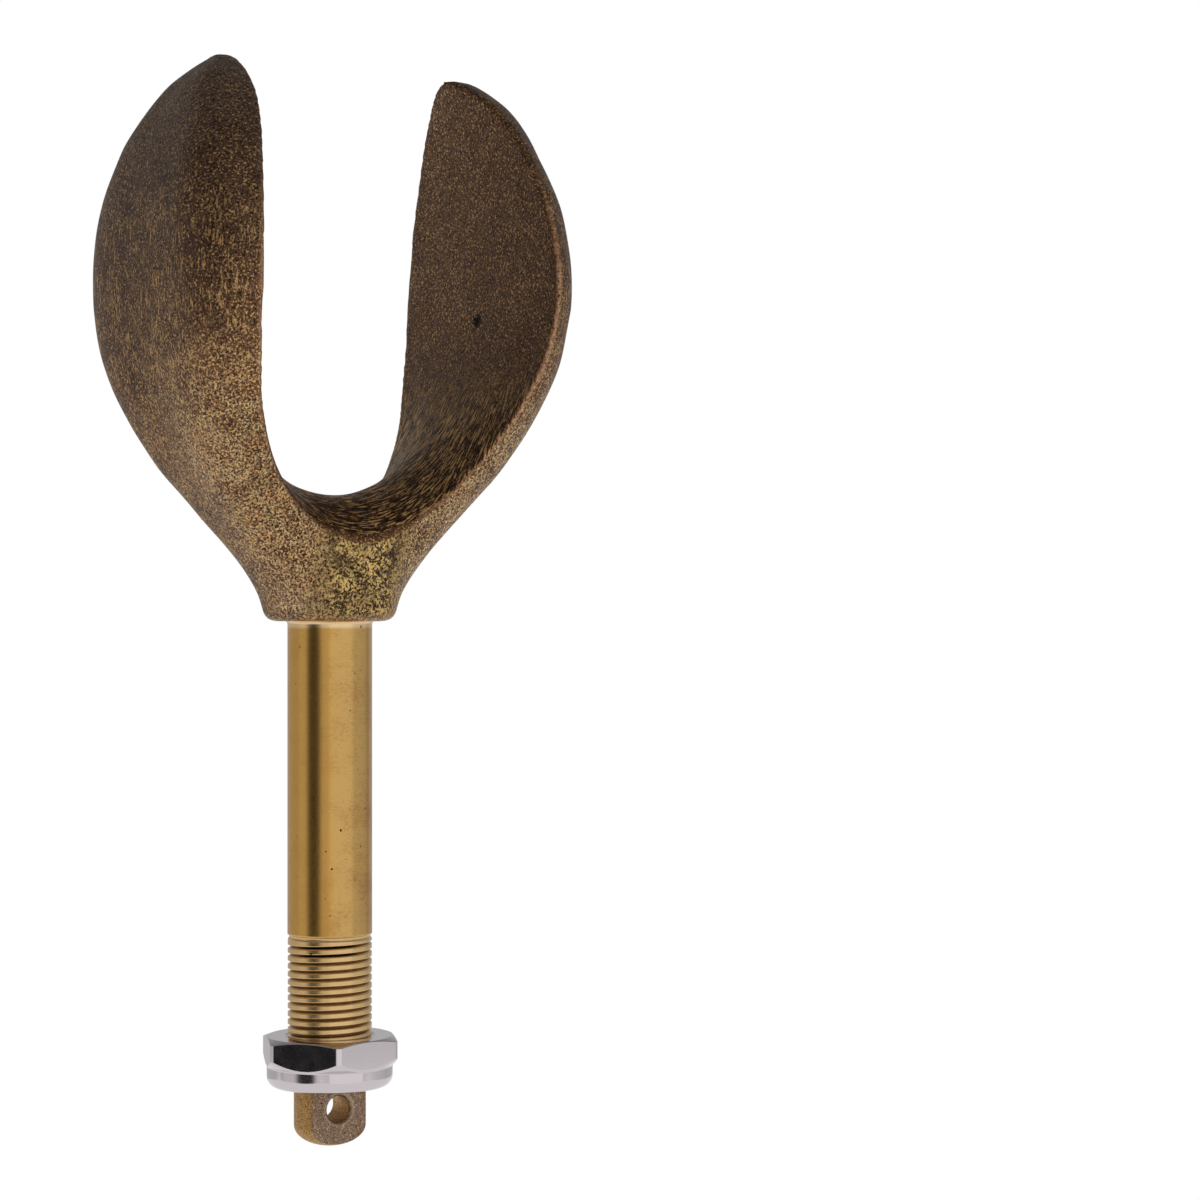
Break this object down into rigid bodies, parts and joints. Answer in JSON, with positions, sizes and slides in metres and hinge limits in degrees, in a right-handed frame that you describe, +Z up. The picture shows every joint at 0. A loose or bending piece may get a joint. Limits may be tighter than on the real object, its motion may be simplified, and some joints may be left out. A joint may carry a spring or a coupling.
{
  "type": "rowlock",
  "caption": "Cast rowlock with two broad leaf-shaped horns, a turned and threaded shank, a lock nut and a drilled tang.",
  "frame": {"origin": "centre of the shoulder's underside, on the shank's axis", "axes": "+Z up along the shank towards the horns, X across the gap between the horns, Y along the oar"},
  "size_m": [0.0824, 0.057, 0.2041],
  "materials": {
    "cast_bronze": "cast head with dark brown patina, bright turned shank",
    "polished_steel": "polished stainless steel",
    "nylon": "plain moulded nylon"
  },
  "bodies": {
    "casting": {"crutch_casting": "cast_bronze"},
    "insert": {"nylon_insert": "nylon"},
    "nut": {"lock_nut": "polished_steel"}
  },
  "joints": [
    {"name": "nut_travel", "type": "slide", "parent": "casting", "child": "insert", "axis": [0, 0, 1], "range_m": [-0.006, 0.018]},
    {"name": "nut_turn", "type": "hinge", "parent": "insert", "child": "nut", "pos_m": [0, 0, -0.083], "axis": [0, 0, 1], "range_deg": [-1440, 4320]}
  ],
  "couplings": [
    {"joint": "nut_travel", "follows": "nut_turn", "m_per_rad": 0.00023873}
  ]
}
